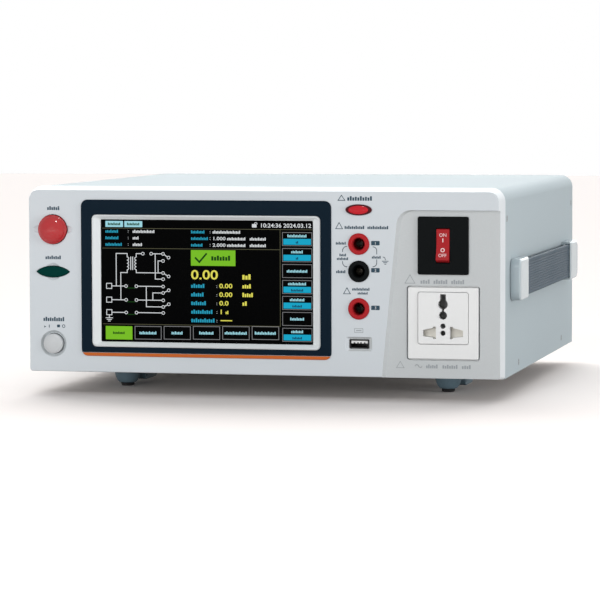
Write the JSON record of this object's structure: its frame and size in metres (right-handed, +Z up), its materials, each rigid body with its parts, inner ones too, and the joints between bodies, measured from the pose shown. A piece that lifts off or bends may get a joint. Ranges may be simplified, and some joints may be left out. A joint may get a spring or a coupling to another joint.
{
  "type": "leakage current tester",
  "caption": "Bench electrical safety tester: grey metal case, colour screen, push buttons, test jacks, line switch and mains outlet on the front, strap handle on the side.",
  "frame": {"origin": "on the bench plane under the four foot pads, below the middle of the part's box", "axes": "+Z up, the front with the screen looks along -Y, +X is the side with the handle"},
  "size_m": [0.337, 0.3428, 0.1425],
  "materials": {
    "moulded_grey": "satin",
    "cover_grey": "fine powder coat",
    "zinc_sheet": "zinc plated",
    "navy": "satin film",
    "orange": "satin film",
    "screen_glass": "smooth",
    "red_plastic": "glossy",
    "green_plastic": "satin",
    "black_plastic": "fine texture",
    "white_plastic": "satin",
    "cream_plastic": "satin",
    "strap_blue": "matte",
    "slate_plastic": "matte",
    "rubber_black": "matte",
    "steel": "nickel plated",
    "board_green": "solder mask"
  },
  "bodies": {
    "instrument": {"front_bezel": "moulded_grey", "case_cover": "cover_grey", "rear_panel": "cover_grey", "chassis": "zinc_sheet", "display_surround": "navy", "accent_stripe": "orange", "screen_frame": "moulded_grey", "screen_panel": "screen_glass", "stop_switch": "black_plastic", "start_switch": "black_plastic", "power_switch": "black_plastic", "danger_lamp": "red_plastic", "jack_red_upper": "red_plastic", "jack_black": "black_plastic", "jack_red_lower": "red_plastic", "contact_red_upper": "steel", "contact_black": "steel", "contact_red_lower": "steel", "port_shell": "steel", "port_tongue": "white_plastic", "switch_body": "black_plastic", "outlet_body": "white_plastic", "outlet_insert": "white_plastic", "fan_frame": "black_plastic", "fan_guard": "steel", "supply_inlet": "black_plastic", "line_inlet": "black_plastic", "serial_port": "steel", "device_port": "steel", "earth_post": "steel", "handle_cap_front": "moulded_grey", "handle_cap_rear": "moulded_grey", "handle_strap": "strap_blue", "foot_front_left": "slate_plastic", "foot_front_right": "slate_plastic", "foot_rear_left": "slate_plastic", "foot_rear_right": "slate_plastic", "pad_front_left": "rubber_black", "pad_front_right": "rubber_black", "pad_rear_left": "rubber_black", "pad_rear_right": "rubber_black", "main_board": "board_green", "transformer": "zinc_sheet"},
    "stop_key": {"stop_button": "red_plastic"},
    "start_key": {"start_button": "green_plastic"},
    "power_key": {"power_button": "white_plastic"},
    "line_rocker": {"rocker": "red_plastic"},
    "shutter": {"outlet_shutter": "cream_plastic"},
    "fan": {"fan_rotor": "black_plastic"},
    "drawer": {"fuse_drawer": "black_plastic"},
    "leg_left": {"tilt_leg_left": "slate_plastic"},
    "leg_right": {"tilt_leg_right": "slate_plastic"}
  },
  "joints": [
    {"name": "stop_press", "type": "slide", "parent": "instrument", "child": "stop_key", "axis": [0, 1, 0], "range_m": [0, 0.0025], "stiffness_N_per_m": 800, "springref_m": -0.002},
    {"name": "start_press", "type": "slide", "parent": "instrument", "child": "start_key", "axis": [0, 1, 0], "range_m": [0, 0.0025], "stiffness_N_per_m": 800, "springref_m": -0.002},
    {"name": "power_press", "type": "slide", "parent": "instrument", "child": "power_key", "axis": [0, 1, 0], "range_m": [0, 0.0025], "stiffness_N_per_m": 800, "springref_m": -0.002},
    {"name": "rocker_tilt", "type": "hinge", "parent": "instrument", "child": "line_rocker", "pos_m": [0.1213, -0.16115, 0.1043], "axis": [1, 0, 0], "range_deg": [0, 16]},
    {"name": "shutter_slide", "type": "slide", "parent": "instrument", "child": "shutter", "axis": [0, 0, -1], "range_m": [0, 0.005], "stiffness_N_per_m": 200, "springref_m": -0.002},
    {"name": "fan_spin", "type": "hinge", "parent": "instrument", "child": "fan", "pos_m": [-0.1035, 0.1435, 0.079], "axis": [0, 1, 0], "continuous": true},
    {"name": "drawer_slide", "type": "slide", "parent": "instrument", "child": "drawer", "axis": [0, 1, 0], "range_m": [0, 0.018]},
    {"name": "leg_left_fold", "type": "hinge", "parent": "instrument", "child": "leg_left", "pos_m": [-0.1185, -0.07655, 0.007], "axis": [-1, 0, 0], "range_deg": [0, 95]},
    {"name": "leg_right_fold", "type": "hinge", "parent": "instrument", "child": "leg_right", "pos_m": [0.1115, -0.07655, 0.007], "axis": [-1, 0, 0], "range_deg": [0, 95]}
  ]
}
